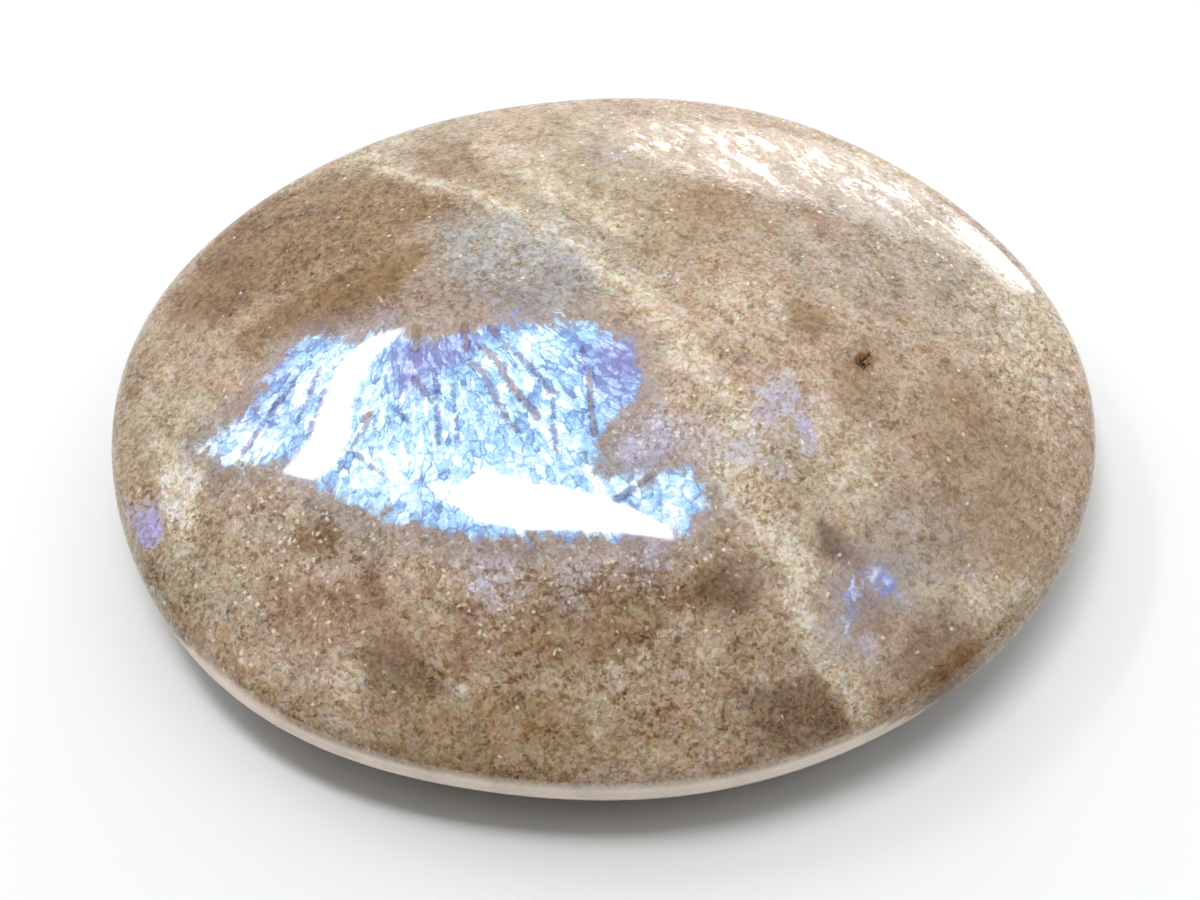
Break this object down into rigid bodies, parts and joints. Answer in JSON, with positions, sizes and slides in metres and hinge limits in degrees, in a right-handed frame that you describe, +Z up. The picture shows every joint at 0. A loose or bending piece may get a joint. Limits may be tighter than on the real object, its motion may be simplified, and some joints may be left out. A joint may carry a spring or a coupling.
{
  "type": "polished moonstone palm stone",
  "caption": "Flattened oval polished moonstone with a low domed crown, a tightly rounded girdle, a shallow domed keel and a small flat spot to rest on.",
  "frame": {"origin": "on the plane of the flat spot under the stone, at the middle of the stone's box in plan", "axes": "+X along the stone's length, +Y across its width, +Z up through the thickness from the flat spot to the crown"},
  "size_m": [0.066, 0.0536, 0.0158],
  "materials": {
    "moonstone": "polished tan and cream feldspar with a blue sheen under the surface"
  },
  "bodies": {
    "root": {"moonstone": "moonstone"}
  },
  "joints": []
}
